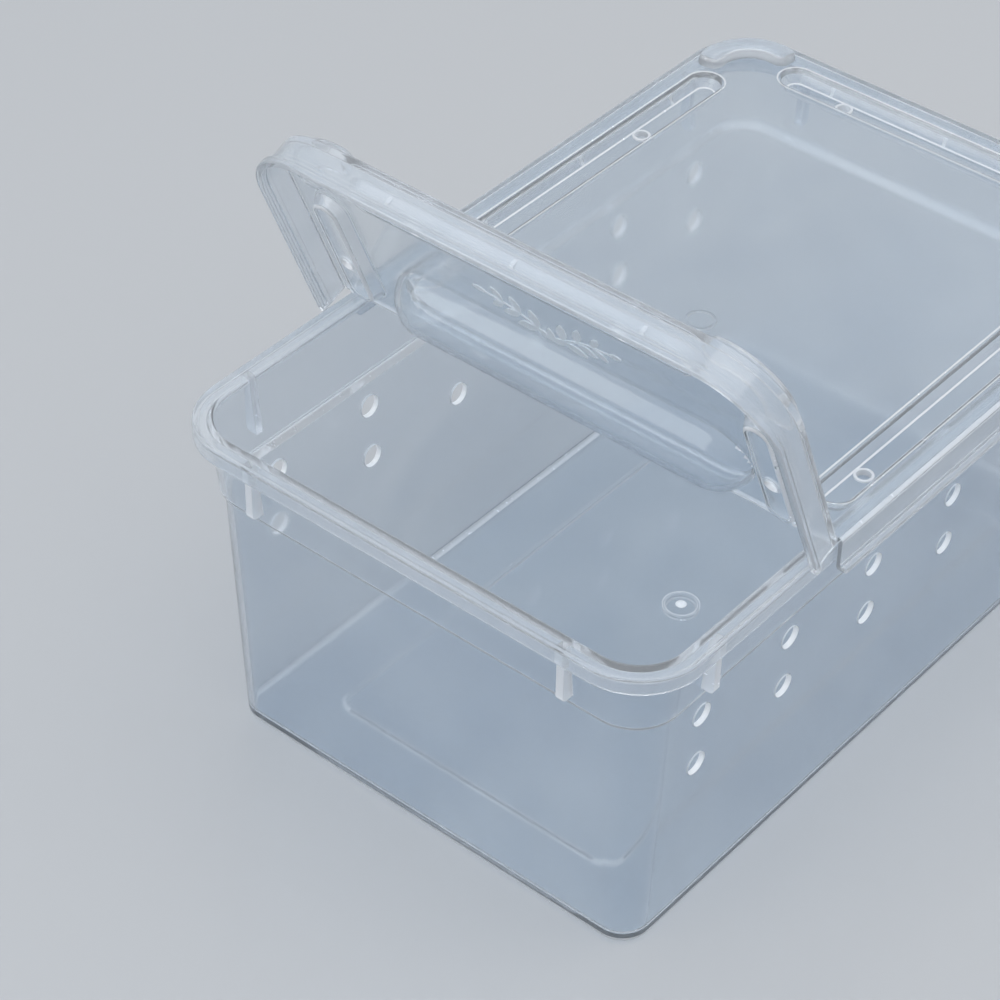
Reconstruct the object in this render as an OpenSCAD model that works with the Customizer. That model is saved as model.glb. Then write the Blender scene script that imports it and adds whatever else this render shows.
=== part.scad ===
// Clear plastic pet keeper: a drafted tub with vent holes and a clip-on lid whose front part folds up.
// Origin: centre of the flat bottom. +Z up, +X towards the fixed part of the lid, mirror plane Y = 0.
// Units: millimetres, real size. The lid flap is drawn raised by flap_open degrees.

/* [Tub] */
// outside length over the tub rim
tub_l = 186.6; // [140:0.2:260]
// outside width over the tub rim
tub_w = 120.8; // [90:0.2:180]
// height of the rim top above the table
tub_h = 78.6; // [50:0.2:140]
// outside corner radius of the rim
rim_r = 14.6; // [11:0.1:24]
// wall thickness
wall_t = 1.25; // [0.9:0.05:2]
// floor thickness
floor_t = 1.5; // [1:0.1:3]
// inset of the wall foot behind the rim edge
foot_inset = 8.2; // [6.5:0.1:10]
// inset of the wall just below the shoulder
low_inset = 5.7; // [4.5:0.1:7]
// inset of the shoulder edge
shoulder_inset = 4.7; // [3.6:0.1:5.5]
// inset of the collar just under the rim
neck_inset = 3.1; // [2.6:0.1:4]
// height of the shoulder above the table
shoulder_z = 61.5; // [35:0.5:110]
// rounding at the foot
foot_round = 1.6; // [0.5:0.1:2.4]

/* [Rim] */
// thickness of the flat rim
rim_t = 1.5; // [1:0.1:2.5]
// height of the rim skirt, rim top included
rim_skirt_h = 4.0; // [3:0.1:7]
// thickness of the rim skirt
rim_skirt_t = 1.2; // [0.8:0.1:2]
// small bevel on the rim edges
rim_bevel = 0.4; // [0.2:0.1:0.6]
// thickness of the ribs under the rim
rib_t = 1.8; // [1.2:0.1:3.5]
// height of the lower end of the ribs
rib_z = 64.3; // [40:0.1:70]
// distance of the side ribs from the middle
rib_x = 71.2; // [40:0.1:74]
// distance of the end ribs from the middle
rib_y = 38.6; // [20:0.1:42]

/* [Vents] */
// diameter of a side vent hole
vent_d = 5.0; // [2.5:0.1:8]
// vent columns on each long side
vent_n = 6; // [2:1:8]
// spacing of the vent columns
vent_pitch = 27.8; // [20:0.1:30]
// distance of the vent pattern from the middle, towards the fixed lid
vent_shift = 0.9; // [-3:0.1:3]
// height of the lower vent row
vent_low_z = 40.9; // [15:0.1:46]
// rise from the lower to the upper vent row
vent_rise = 13.1; // [8:0.1:18]

/* [Floor] */
// length of the raised floor panel
panel_l = 141; // [80:0.5:150]
// width of the raised floor panel
panel_w = 73; // [40:0.5:85]
// corner radius of the raised floor panel
panel_r = 4; // [2:0.5:12]
// rise of the floor panel
panel_rise = 0.7; // [0.3:0.1:1.2]
// radius of the round mark under the floor
floor_mark_r = 4; // [2:0.1:8]
// radius of the round mark under the lid
lid_mark_r = 3.4; // [2:0.1:8]
// depth of the marks
mark_depth = 0.4; // [0.2:0.1:0.6]
// width of the marks
mark_line = 0.8; // [0.4:0.1:1.2]

/* [Lid] */
// thickness of the lid plate
lid_t = 1.5; // [1.2:0.1:2.5]
// gap between the lid skirt and the tub rim
lid_gap = 0.1; // [0.1:0.05:0.5]
// gap between the lid plate and the rim top
seat_gap = 0.1; // [0.05:0.05:0.3]
// thickness of the lid skirt
lid_skirt_t = 0.8; // [0.6:0.05:1.6]
// height of the fixed lid skirt, plate included
lid_skirt_h = 9.0; // [6:0.1:14]
// height of the flap skirt, plate included
flap_skirt_h = 8.3; // [6:0.1:14]
// outward step of the lip along the skirt edge
lip_out = 0.85; // [0.3:0.05:1.2]
// height of the lip
lip_h = 2.0; // [1:0.1:3]
// slope at the top of the lip
lip_slope = 0.5; // [0.2:0.1:0.8]
// bevel along the top edge of the lid
lid_bevel = 0.6; // [0.2:0.1:0.7]
// rounding of the lower corner of the fixed skirt beside the fold
skirt_corner_r = 2.4; // [0.5:0.1:3]

/* [Lid pockets] */
// distance of a pocket centre line behind the rim edge
pocket_inset = 8.6; // [8:0.1:10]
// half width of a pocket at the plate
pocket_top = 4.2; // [3.6:0.1:4.3]
// half width of a pocket at its floor
pocket_low = 3.1; // [2:0.1:3.5]
// depth of a pocket below the lid plate
pocket_drop = 2.4; // [1.5:0.1:5]
// wall thickness of a pocket
pocket_wall = 0.95; // [0.7:0.05:1.3]
// diameter of the air hole in a pocket floor
air_d = 3.0; // [1.5:0.1:4]
// half length of the end pockets
end_pocket_half = 41.5; // [20:0.5:46]
// hinge side end of the fixed side pockets
side_pocket_from = -30; // [-32:0.1:10]
// outer end of the fixed side pockets
side_pocket_to = 74; // [40:0.5:75]
// length of the side pockets in the flap
flap_pocket_l = 33.5; // [15:0.5:33.5]
// distance of the hole in a flap side pocket from its hinge side end
flap_air_x = 13.5; // [6:0.1:26]
// distance of the holes in an end pocket from its ends
end_air_inset = 17.1; // [6:0.1:18]
// thickness of the centring fins
fin_t = 1.0; // [0.6:0.1:1.6]
// spacing of the fins along the fixed side pockets
fin_pitch = 31.7; // [20:0.1:40]
// distance of the first fin from the outer end of a fixed side pocket
fin_inset = 12; // [3:0.1:20]
// distance of an air hole from the fin before it
fin_to_air = 15; // [4:0.1:16]
// distance of the outer fins from the ends of an end pocket
end_fin_inset = 11.5; // [3:0.1:16]
// distance of the first flap fin from the hinge side end of its pocket
flap_fin_inset = 2.3; // [1:0.1:6]
// spacing of the flap fins
flap_fin_pitch = 20; // [10:0.1:24]
// gap between a fin and the tub wall
fin_gap = 0.4; // [0.3:0.05:0.6]
// height of the upright outer edge of a fin
fin_edge = 0.6; // [0.3:0.1:1.2]

/* [Stacking lugs] */
// height of the corner lugs on the lid
lug_h = 2.2; // [0.8:0.1:3]
// gap between a lug and the foot of a stacked tub
lug_gap = 0.6; // [0.3:0.1:1.5]
// width of a corner lug
lug_w = 6.2; // [3:0.1:6.5]
// run of a lug past the quarter turn at each end
lug_run = 3.2; // [0:0.1:3.3]
// draft of the outer face of a lug
lug_draft = 0.6; // [0.2:0.1:1]

/* [Hinge and flap] */
// distance of the hinge line from the middle
hinge_x = 37.9; // [20:0.1:39]
// radius of the fold bead
bead_r = 0.6; // [0.4:0.05:0.8]
// height of the fold line above the top of the lid plate
fold_rise = 0.25; // [0.1:0.05:0.4]
// gap between the fold bead and the flap
bead_gap = 0.15; // [0.1:0.05:0.3]
// angle at which the flap is drawn, 0 is shut
flap_open = 67.5; // [0:0.5:168]
// outside radius of the trough across the flap
trough_r = 8.9; // [5:0.1:9]
// half length of the trough, ends included
trough_half = 43.2; // [25:0.1:43.4]
// offset of the trough from the middle, towards +Y
trough_shift = -2.8; // [-3:0.1:3]
// distance of the trough from the hinge line
trough_u = 15.2; // [12:0.1:22]
// wall thickness of the trough
trough_wall = 1.1; // [0.8:0.1:1.6]

/* [Hidden] */
$fn = 96;
eps = 0.01;
half_l = tub_l / 2;
half_w = tub_w / 2;
cx = half_l - rim_r;
cy = half_w - rim_r;
mouth_inset = neck_inset + wall_t;
plate_z = tub_h + seat_gap;
lid_top = plate_z + lid_t;
fold_z = lid_top + fold_rise;
lid_out = lid_gap + lid_skirt_t;
half_gap = bead_r + bead_gap;
vent_reach = 8 * wall_t;
rib_sink = 0.3;
fin_sink = 0.5;
foot_cut = foot_round * (1 - sqrt(0.5));
floor_overlap = 1;
floor_fillet = 1;
foot_slope = (foot_inset - low_inset) / shoulder_z;

// Radius, from a corner centre, of a line that lies behind the rim edge by i.
function rho(i) = rim_r - i;
// Inset of the outer wall face at height z, below the shoulder.
function wall_inset(z) = foot_inset - foot_slope * z;

// One quarter turn of the child profile round a corner centre.
module corner(x, y, turn) {
    translate([x, y, 0])
        rotate([0, 0, turn])
            rotate_extrude(angle = 90)
                children();
}

// Child profile drawn out along Y at the +X end.
module end_run(x, y) {
    translate([x, y, 0])
        rotate([90, 0, 0])
            linear_extrude(height = 2 * y)
                children();
}

// Child profile drawn out along X, from x0 to x1, at the +Y side.
module side_run(x0, x1, y) {
    translate([x0, y, 0])
        rotate([90, 0, 90])
            linear_extrude(height = x1 - x0)
                children();
}

// Child profile swept once round the whole rim.
module full_sweep() {
    corner(cx, cy, 0) children();
    corner(-cx, cy, 90) children();
    corner(-cx, -cy, 180) children();
    corner(cx, -cy, 270) children();
    end_run(cx, cy) children();
    mirror([1, 0, 0]) end_run(cx, cy) children();
    side_run(-cx, cx, cy) children();
    mirror([0, 1, 0]) side_run(-cx, cx, cy) children();
}

// Child profile swept along both sides from x0 and round the +X end.
module half_sweep(x0) {
    corner(cx, cy, 0) children();
    corner(cx, -cy, 270) children();
    end_run(cx, cy) children();
    side_run(x0, cx, cy) children();
    mirror([0, 1, 0]) side_run(x0, cx, cy) children();
}

// Flat rounded rectangle made of two bars and four discs.
module round_rect(hx, hy, r) {
    square([2 * hx, 2 * (hy - r)], center = true);
    square([2 * (hx - r), 2 * hy], center = true);
    for (sx = [-1, 1])
        for (sy = [-1, 1])
            translate([sx * (hx - r), sy * (hy - r)])
                circle(r = r);
}

// Section of the tub wall, rim and foot; x is the radius from the corner centre.
module tub_profile() {
    polygon([
        [rho(foot_inset + foot_round + 2 * floor_overlap), 0],
        [rho(foot_inset + foot_round), 0],
        [rho(foot_inset + foot_cut), foot_cut],
        [rho(wall_inset(foot_round)), foot_round],
        [rho(low_inset), shoulder_z],
        [rho(shoulder_inset), shoulder_z],
        [rho(neck_inset), tub_h - rim_t],
        [rho(rim_skirt_t), tub_h - rim_t],
        [rho(rim_skirt_t), tub_h - rim_skirt_h],
        [rho(0), tub_h - rim_skirt_h],
        [rho(0), tub_h - rim_bevel],
        [rho(rim_bevel), tub_h],
        [rho(mouth_inset - rim_bevel), tub_h],
        [rho(mouth_inset), tub_h - rim_bevel],
        [rho(mouth_inset), tub_h - rim_t],
        [rho(shoulder_inset + wall_t), shoulder_z],
        [rho(low_inset + wall_t), shoulder_z - wall_t],
        [rho(wall_inset(floor_t + floor_fillet) + wall_t), floor_t + floor_fillet],
        [rho(foot_inset + wall_t + floor_fillet), floor_t],
        [rho(foot_inset + foot_round + 2 * floor_overlap), floor_t]
    ]);
}

// Upright rib that ties the rim skirt to the collar, at the +X end.
module rib_profile() {
    polygon([
        [rho(shoulder_inset + rib_sink), rib_z],
        [rho(rim_skirt_t - rib_sink), rib_z],
        [rho(rim_skirt_t - rib_sink), tub_h - rim_t + rib_sink],
        [rho(neck_inset + rib_sink), tub_h - rim_t + rib_sink]
    ]);
}

module tub_ribs() {
    for (sx = [0, 1])
        for (sy = [-1, 1])
            mirror([sx, 0, 0])
                translate([cx, sy * rib_y + rib_t / 2, 0])
                    rotate([90, 0, 0])
                        linear_extrude(height = rib_t)
                            rib_profile();
    for (sx = [-1, 1])
        for (sy = [0, 1])
            mirror([0, sy, 0])
                translate([sx * rib_x - rib_t / 2, cy, 0])
                    rotate([90, 0, 90])
                        linear_extrude(height = rib_t)
                            rib_profile();
}

module tub_floor() {
    difference() {
        union() {
            linear_extrude(height = floor_t)
                round_rect(half_l - foot_inset - foot_round - floor_overlap,
                           half_w - foot_inset - foot_round - floor_overlap,
                           rho(foot_inset + foot_round + floor_overlap));
            linear_extrude(height = floor_t + panel_rise)
                round_rect(panel_l / 2, panel_w / 2, panel_r);
            cylinder(h = floor_t + panel_rise + mark_depth, r = mark_line);
        }
        translate([0, 0, -eps])
            linear_extrude(height = mark_depth + eps)
                difference() {
                    round_rect(panel_l / 2, panel_w / 2, panel_r);
                    round_rect(panel_l / 2 - mark_line, panel_w / 2 - mark_line, panel_r - mark_line);
                }
        ring_mark(floor_mark_r);
    }
}

// Shallow ring cut into an underside at z = 0.
module ring_mark(r) {
    translate([0, 0, -eps])
        linear_extrude(height = mark_depth + eps)
            difference() {
                circle(r = r);
                circle(r = r - mark_line);
            }
}

module vent_holes() {
    for (i = [0 : vent_n - 1])
        for (k = [0, 1])
            for (sy = [-1, 1])
                translate([vent_shift + (i - (vent_n - 1) / 2) * vent_pitch,
                           sy * (half_w - low_inset - wall_t / 2),
                           vent_low_z + k * vent_rise])
                    rotate([90, 0, 0])
                        cylinder(h = vent_reach, d = vent_d, center = true);
}

module tub() {
    color([0.80, 0.86, 0.92, 0.45])
        difference() {
            union() {
                full_sweep() tub_profile();
                tub_floor();
                tub_ribs();
            }
            vent_holes();
        }
}

// Section of a lid skirt h high, with its lip and the outer strip of the plate.
module skirt_profile(h) {
    polygon([
        [0, plate_z],
        [rho(-lid_gap), plate_z],
        [rho(-lid_gap), lid_top - h],
        [rho(-lid_out - lip_out), lid_top - h],
        [rho(-lid_out - lip_out), lid_top - h + lip_h - lip_slope],
        [rho(-lid_out), lid_top - h + lip_h],
        [rho(-lid_out), lid_top - lid_bevel],
        [rho(-lid_out + lid_bevel), lid_top],
        [0, lid_top]
    ]);
}

// Solid stadium with sloping sides, long axis on X, from x0 to x1.
module plug(x0, x1, low_r, top_r, z0, z1) {
    for (x = [x0 + top_r, x1 - top_r])
        translate([x, 0, z0])
            cylinder(h = z1 - z0, r1 = low_r, r2 = top_r);
    translate([x0 + top_r, 0, 0])
        rotate([90, 0, 90])
            linear_extrude(height = x1 - x0 - 2 * top_r)
                polygon([[-low_r, z0], [low_r, z0], [top_r, z1], [-top_r, z1]]);
}

pocket_slope = (pocket_top - pocket_low) / pocket_drop;
hollow_inset = pocket_wall * 0.6;

module pocket_shell(x0, x1) {
    plug(x0, x1, pocket_low, pocket_top, plate_z - pocket_drop, plate_z + eps);
}

module pocket_void(x0, x1) {
    low = pocket_low - hollow_inset;
    top = low + pocket_slope * (pocket_drop - pocket_wall + lid_t + eps);
    shift = pocket_top - top;
    plug(x0 + shift, x1 - shift, low, top, plate_z - pocket_drop + pocket_wall, lid_top + eps);
}

// Small three-cornered fin outside a pocket, drawn on its +Y side at x.
module fin(x) {
    reach = pocket_inset - mouth_inset - fin_gap;
    translate([x - fin_t / 2, 0, 0])
        rotate([90, 0, 90])
            linear_extrude(height = fin_t)
                polygon([
                    [pocket_low - fin_sink, plate_z - pocket_drop],
                    [pocket_low, plate_z - pocket_drop],
                    [reach, plate_z - fin_edge],
                    [reach, plate_z + eps],
                    [pocket_low - fin_sink, plate_z + eps]
                ]);
}

// Corner lug: a ring sector that keeps the foot of a stacked tub in place.
module lug() {
    inner = rho(foot_inset) + lug_gap;
    translate([cx, cy, lid_top - eps])
        intersection() {
            difference() {
                cylinder(h = lug_h, r1 = inner + lug_w, r2 = inner + lug_w - lug_draft);
                translate([0, 0, -1])
                    cylinder(h = lug_h + 2, r = inner);
            }
            translate([-lug_run, -lug_run, -1])
                cube([inner + lug_w + lug_run, inner + lug_w + lug_run, lug_h + 2]);
        }
}

side_pocket_y = half_w - pocket_inset;
end_pocket_x = half_l - pocket_inset;

// Places a pocket drawn on the X axis along the +Y or -Y side.
module on_side(sy) {
    mirror([0, sy < 0 ? 1 : 0, 0])
        translate([0, side_pocket_y, 0])
            children();
}

// Places a pocket drawn on the X axis along the +X end, its +Y face outward.
module on_end() {
    translate([end_pocket_x, 0, 0])
        rotate([0, 0, -90])
            children();
}

module fixed_pockets(kind) {
    for (sy = [-1, 1])
        on_side(sy)
            if (kind == "shell")
                pocket_shell(side_pocket_from, side_pocket_to);
            else
                pocket_void(side_pocket_from, side_pocket_to);
    on_end()
        if (kind == "shell")
            pocket_shell(-end_pocket_half, end_pocket_half);
        else
            pocket_void(-end_pocket_half, end_pocket_half);
}

// Air holes through the pocket floors, at the given positions along a side.
module air_hole(x) {
    translate([x, 0, plate_z - pocket_drop - 1])
        cylinder(h = pocket_drop + 1, d = air_d);
}

// What is cut away to round the lower corner of the fixed skirt beside the fold.
module skirt_corner() {
    translate([-hinge_x + half_gap, 0, lid_top - lid_skirt_h])
        rotate([90, 0, 0])
            linear_extrude(height = 2 * tub_w, center = true)
                difference() {
                    translate([-eps, -eps])
                        square(skirt_corner_r + eps);
                    translate([skirt_corner_r, skirt_corner_r])
                        circle(r = skirt_corner_r);
                }
}

side_fin_x = side_pocket_to - fin_inset;
end_fin_y = end_pocket_half - end_fin_inset;
end_air_y = end_pocket_half - end_air_inset;

module lid_fixed() {
    color([0.80, 0.86, 0.92, 0.45])
        difference() {
            union() {
                half_sweep(-hinge_x + half_gap) skirt_profile(lid_skirt_h);
                translate([-hinge_x + half_gap, -cy - eps, plate_z])
                    cube([hinge_x - half_gap + cx + eps, 2 * (cy + eps), lid_t]);
                for (sy = [0, 1])
                    mirror([0, sy, 0])
                        lug();
                fixed_pockets("shell");
                for (sy = [-1, 1])
                    on_side(sy)
                        for (x = [side_fin_x : -fin_pitch : side_pocket_from + fin_t])
                            fin(x);
                on_end()
                    for (k = [-1, 0, 1])
                        fin(k * end_fin_y);
            }
            fixed_pockets("void");
            for (sy = [-1, 1])
                on_side(sy)
                    for (x = [side_fin_x - fin_to_air : -2 * fin_pitch : side_pocket_from + pocket_top])
                        air_hole(x);
            on_end()
                for (k = [-1, 1])
                    air_hole(k * end_air_y);
            translate([0, 0, plate_z])
                ring_mark(lid_mark_r);
            skirt_corner();
        }
}

module fold_web() {
    color([0.80, 0.86, 0.92, 0.45])
        union() {
            translate([-hinge_x, half_w, fold_z])
                rotate([90, 0, 0])
                    cylinder(h = tub_w, r = bead_r);
            translate([-hinge_x, -half_w, fold_z - bead_r])
                cube([half_gap, tub_w, bead_r]);
        }
}

flap_pocket_from = hinge_x + 4;

module flap_pockets(kind) {
    for (sy = [-1, 1])
        on_side(sy)
            if (kind == "shell")
                pocket_shell(flap_pocket_from, flap_pocket_from + flap_pocket_l);
            else
                pocket_void(flap_pocket_from, flap_pocket_from + flap_pocket_l);
    on_end()
        if (kind == "shell")
            pocket_shell(-end_pocket_half, end_pocket_half);
        else
            pocket_void(-end_pocket_half, end_pocket_half);
}

// Half round bar with ball ends along Y, used for the trough and for its hollow.
module trough_bar(r, half) {
    translate([hinge_x + trough_u, trough_shift, lid_top]) {
        translate([0, half - r, 0])
            rotate([90, 0, 0])
                cylinder(h = 2 * (half - r), r = r);
        for (sy = [-1, 1])
            translate([0, sy * (half - r), 0])
                sphere(r = r);
    }
}

// The flap drawn shut and towards +X; mirrored and turned about the fold in lid_flap.
module flap_shut() {
    difference() {
        union() {
            half_sweep(hinge_x + half_gap) skirt_profile(flap_skirt_h);
            translate([hinge_x + half_gap, -cy - eps, plate_z])
                cube([cx - hinge_x - half_gap + eps, 2 * (cy + eps), lid_t]);
            for (sy = [0, 1])
                mirror([0, sy, 0])
                    lug();
            flap_pockets("shell");
            for (sy = [-1, 1])
                on_side(sy)
                    for (k = [0, 1])
                        fin(flap_pocket_from + flap_fin_inset + k * flap_fin_pitch);
            on_end()
                for (k = [-1, 0, 1])
                    fin(k * end_fin_y);
            intersection() {
                trough_bar(trough_r, trough_half);
                translate([hinge_x, -half_w, lid_top - 2 * trough_r])
                    cube([40, tub_w, 2 * trough_r - eps]);
            }
        }
        flap_pockets("void");
        trough_bar(trough_r - trough_wall, trough_half - trough_wall);
        for (sy = [-1, 1])
            on_side(sy)
                air_hole(flap_pocket_from + flap_air_x);
        on_end()
            for (k = [-1, 1])
                air_hole(k * end_air_y);
    }
}

module lid_flap() {
    color([0.80, 0.86, 0.92, 0.45])
        translate([-hinge_x, 0, fold_z])
            rotate([0, flap_open, 0])
                translate([hinge_x, 0, -fold_z])
                    mirror([1, 0, 0])
                        flap_shut();
}

tub();
lid_fixed();
fold_web();
lid_flap();
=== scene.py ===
import math

import bmesh
import bpy
from mathutils import Matrix, Vector


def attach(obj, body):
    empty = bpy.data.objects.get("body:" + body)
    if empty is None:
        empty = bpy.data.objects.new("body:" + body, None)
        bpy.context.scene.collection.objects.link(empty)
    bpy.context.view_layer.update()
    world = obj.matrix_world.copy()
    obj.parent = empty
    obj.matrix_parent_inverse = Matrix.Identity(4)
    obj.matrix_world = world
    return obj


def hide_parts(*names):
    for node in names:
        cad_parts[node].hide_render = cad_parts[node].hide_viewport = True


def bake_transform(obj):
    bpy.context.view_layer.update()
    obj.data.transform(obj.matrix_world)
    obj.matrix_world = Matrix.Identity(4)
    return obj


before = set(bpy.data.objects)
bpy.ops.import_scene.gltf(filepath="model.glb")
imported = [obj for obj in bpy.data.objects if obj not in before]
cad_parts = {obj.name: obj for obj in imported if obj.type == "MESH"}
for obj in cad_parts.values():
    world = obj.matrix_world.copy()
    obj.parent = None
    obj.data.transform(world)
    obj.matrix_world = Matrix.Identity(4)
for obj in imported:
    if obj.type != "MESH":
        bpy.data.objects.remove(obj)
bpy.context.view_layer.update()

# Clear plastic pet keeper: drafted tub with vents, clip-on lid whose front part folds up.
# Shapes are drawn in millimetres and scaled to metres when a piece is finished.
millimetre = 0.001
scene = bpy.context.scene

keeper = {
    "length": 186.6,
    "width": 120.8,
    "height": 78.6,
    "cornerRadius": 14.6,
    "cornerSteps": 16,
    "hingeX": -37.9,
    "hingeZ": 80.45,
    "flapAngle": 67.5,
    "plateZ": 78.7,
    "lidTop": 80.2,
}
halfLength = keeper["length"] / 2
halfWidth = keeper["width"] / 2
cornerX = halfLength - keeper["cornerRadius"]
cornerY = halfWidth - keeper["cornerRadius"]
plateZ = keeper["plateZ"]
lidTop = keeper["lidTop"]

# numbers of the materials on a piece
plainFace, highlightAndHazeFace, milkyFace, roughFace = range(4)


def radiusAt(inset):
    # corner radius of an outline that lies this far inside the rim of the tub
    return keeper["cornerRadius"] - inset


def filleted(points, steps=4):
    # open polyline of (x, z, radius) with its corners rounded
    rounded = []
    for index, (x, z, radius) in enumerate(points):
        here = Vector((x, z))
        if radius <= 0 or index in (0, len(points) - 1):
            rounded.append(here)
            continue
        before = (Vector(points[index - 1][:2]) - here).normalized()
        after = (Vector(points[index + 1][:2]) - here).normalized()
        halfAngle = before.angle(after) / 2
        centre = here + (before + after).normalized() * radius / math.sin(halfAngle)
        first = here + before * radius / math.tan(halfAngle) - centre
        last = here + after * radius / math.tan(halfAngle) - centre
        turn = first.angle_signed(last)
        for step in range(steps + 1):
            rounded.append(centre + Matrix.Rotation(-turn * step / steps, 2) @ first)
    return rounded


def onlyVerts(geometry):
    return [item for item in geometry if isinstance(item, bmesh.types.BMVert)]


def onlyEdges(geometry):
    return [item for item in geometry if isinstance(item, bmesh.types.BMEdge)]


def vertsOf(parts):
    # vertices of edges or faces, each once and always in the same order
    return list(dict.fromkeys(vert for part in parts for vert in part.verts))


def drawRun(bm, edges, move):
    # extrude a row of edges along a straight run
    made = bmesh.ops.extrude_edge_only(bm, edges=edges)["geom"]
    bmesh.ops.translate(bm, verts=onlyVerts(made), vec=move)
    return onlyEdges(made)


def drawTurn(bm, edges, centre, angle=math.pi / 2, steps=keeper["cornerSteps"]):
    # spin a row of edges about an upright axis
    made = bmesh.ops.spin(bm, geom=vertsOf(edges) + list(edges), cent=centre, axis=(0, 0, 1),
                          dvec=(0, 0, 0), angle=angle, steps=steps, use_merge=False,
                          use_duplicate=False)["geom_last"]
    return onlyEdges(made)


def drawAround(bm, edges, start, corners):
    # draw a row of edges along straight runs and round each corner in turn
    for corner in corners:
        edges = drawRun(bm, edges, (corner[0] - start[0], corner[1] - start[1], 0))
        edges = drawTurn(bm, edges, (corner[0], corner[1], 0))
        start = corner
    return edges


def profileEdges(bm, places, closed=False):
    verts = [bm.verts.new(place) for place in places]
    pairs = list(zip(verts, verts[1:]))
    if closed:
        pairs.append((verts[-1], verts[0]))
    return [bm.edges.new(pair) for pair in pairs]


def walkLoop(edges):
    # vertices of one closed loop of edges, in order
    left = list(edges)
    ordered = list(left.pop().verts)
    while left:
        edge = next(item for item in left if ordered[-1] in item.verts)
        left.remove(edge)
        other = edge.other_vert(ordered[-1])
        if other is ordered[0]:
            break
        ordered.append(other)
    return ordered


def openEdges(bm):
    return [edge for edge in bm.edges if len(edge.link_faces) == 1]


def fillOpen(bm):
    # one flat face over each open loop
    left = openEdges(bm)
    while left:
        first, vert = left.pop().verts
        loop = [first]
        while vert is not first:
            loop.append(vert)
            step = next(edge for edge in vert.link_edges if edge in left)
            left.remove(step)
            vert = step.other_vert(vert)
        bm.faces.new(loop)


def joinDoubles(bm, gap):
    bmesh.ops.remove_doubles(bm, verts=bm.verts[:], dist=gap)
    bmesh.ops.dissolve_degenerate(bm, edges=bm.edges[:], dist=gap)


def extrudeFace(bm, places, move):
    # closed slab: a flat face through the places, drawn out along move
    face = bm.faces.new([bm.verts.new(place) for place in places])
    made = bmesh.ops.extrude_face_region(bm, geom=[face])["geom"]
    bmesh.ops.translate(bm, verts=onlyVerts(made), vec=move)
    return made


def uprightSlab(bm, place, outward, outline, wall):
    # slab that stands across a wall; outline holds (distance outward, height)
    sideways = Vector((-outward.y, outward.x, 0))
    extrudeFace(bm, [place + outward * out + Vector((0, 0, height)) - sideways * wall / 2
                     for out, height in outline], sideways * wall)


def barrel(bm, centre, axisTurn, radius, depth, segments=32):
    # closed cylinder for cutting or joining
    bmesh.ops.create_cone(bm, cap_ends=True, cap_tris=False, segments=segments, radius1=radius,
                          radius2=radius, depth=depth, matrix=Matrix.Translation(centre) @ axisTurn)


def asObject(name, bm):
    mesh = bpy.data.meshes.new(name)
    bm.to_mesh(mesh)
    bm.free()
    piece = bpy.data.objects.new(name, mesh)
    scene.collection.objects.link(piece)
    return piece


def closedObject(name, bm):
    bmesh.ops.recalc_face_normals(bm, faces=bm.faces[:])
    return asObject(name, bm)


def combine(target, tool, operation):
    # boolean with a tool shape, applied at once; the tool is used up
    step = target.modifiers.new("combine", "BOOLEAN")
    step.operation = operation
    step.solver = "EXACT"
    step.object = tool
    graph = bpy.context.evaluated_depsgraph_get()
    made = bpy.data.meshes.new_from_object(target.evaluated_get(graph))
    target.modifiers.clear()
    old = target.data
    target.data = made
    bpy.data.meshes.remove(old)
    toolMesh = tool.data
    bpy.data.objects.remove(tool)
    bpy.data.meshes.remove(toolMesh)


finishValues = {
    "meshGap": 0.0005,
    "joinGap": 0.002,
    "flatTurn": 0.6,
    "bevelTurn": 38,
    "bevelSegments": 2,
    "whiteWidth": 0.4,
    "whiteTurn": 12,
    "longEdge": 0.6,
    "sharpTurn": 40,
    "shadingWeight": 60,
}


def softenEdges(piece, width, f=finishValues):
    # round what the booleans left sharp
    bm = bmesh.new()
    bm.from_mesh(piece.data)
    joinDoubles(bm, f["joinGap"])
    bmesh.ops.dissolve_limit(bm, angle_limit=math.radians(f["flatTurn"]), verts=bm.verts[:],
                             edges=bm.edges[:], use_dissolve_boundaries=False)
    sharp = [edge for edge in bm.edges if len(edge.link_faces) == 2
             and edge.calc_face_angle(0) > math.radians(f["bevelTurn"])]
    bmesh.ops.bevel(bm, geom=sharp, offset=width, offset_type="OFFSET", segments=f["bevelSegments"],
                    profile=0.5, affect="EDGES", clamp_overlap=True, material=-1)
    bm.to_mesh(piece.data)
    bm.free()


def sortFaces(piece, tests, f=finishValues):
    # give each face its material: white on the narrow faces along edges, which stands for the haze of
    # thicker plastic together with a painted highlight, plain elsewhere, and otherwise what the last test
    # that holds says
    bm = bmesh.new()
    bm.from_mesh(piece.data)
    for face in bm.faces:
        longest = max(edge.calc_length() for edge in face.edges)
        narrow = longest > 0 and face.calc_area() / longest < f["whiteWidth"]
        turned = any(edge.calc_length() > f["longEdge"] * longest and len(edge.link_faces) == 2
                     and edge.calc_face_angle(0) > math.radians(f["whiteTurn"]) for edge in face.edges)
        face.material_index = highlightAndHazeFace if narrow and turned else plainFace
        for number, test in tests:
            if test(face):
                face.material_index = number
    bm.to_mesh(piece.data)
    bm.free()


def toMetres(piece, sharpTurn):
    piece.data.transform(Matrix.Scale(millimetre, 4))
    for face in piece.data.polygons:
        face.use_smooth = True
    piece.data.set_sharp_from_angle(angle=math.radians(sharpTurn))


def finishPiece(piece, body, replaced=(), f=finishValues):
    toMetres(piece, f["sharpTurn"])
    weighted = piece.modifiers.new("evenShading", "WEIGHTED_NORMAL")
    weighted.keep_sharp = True
    weighted.weight = f["shadingWeight"]
    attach(piece, body)
    if replaced:
        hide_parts(*replaced)
    return piece


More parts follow.
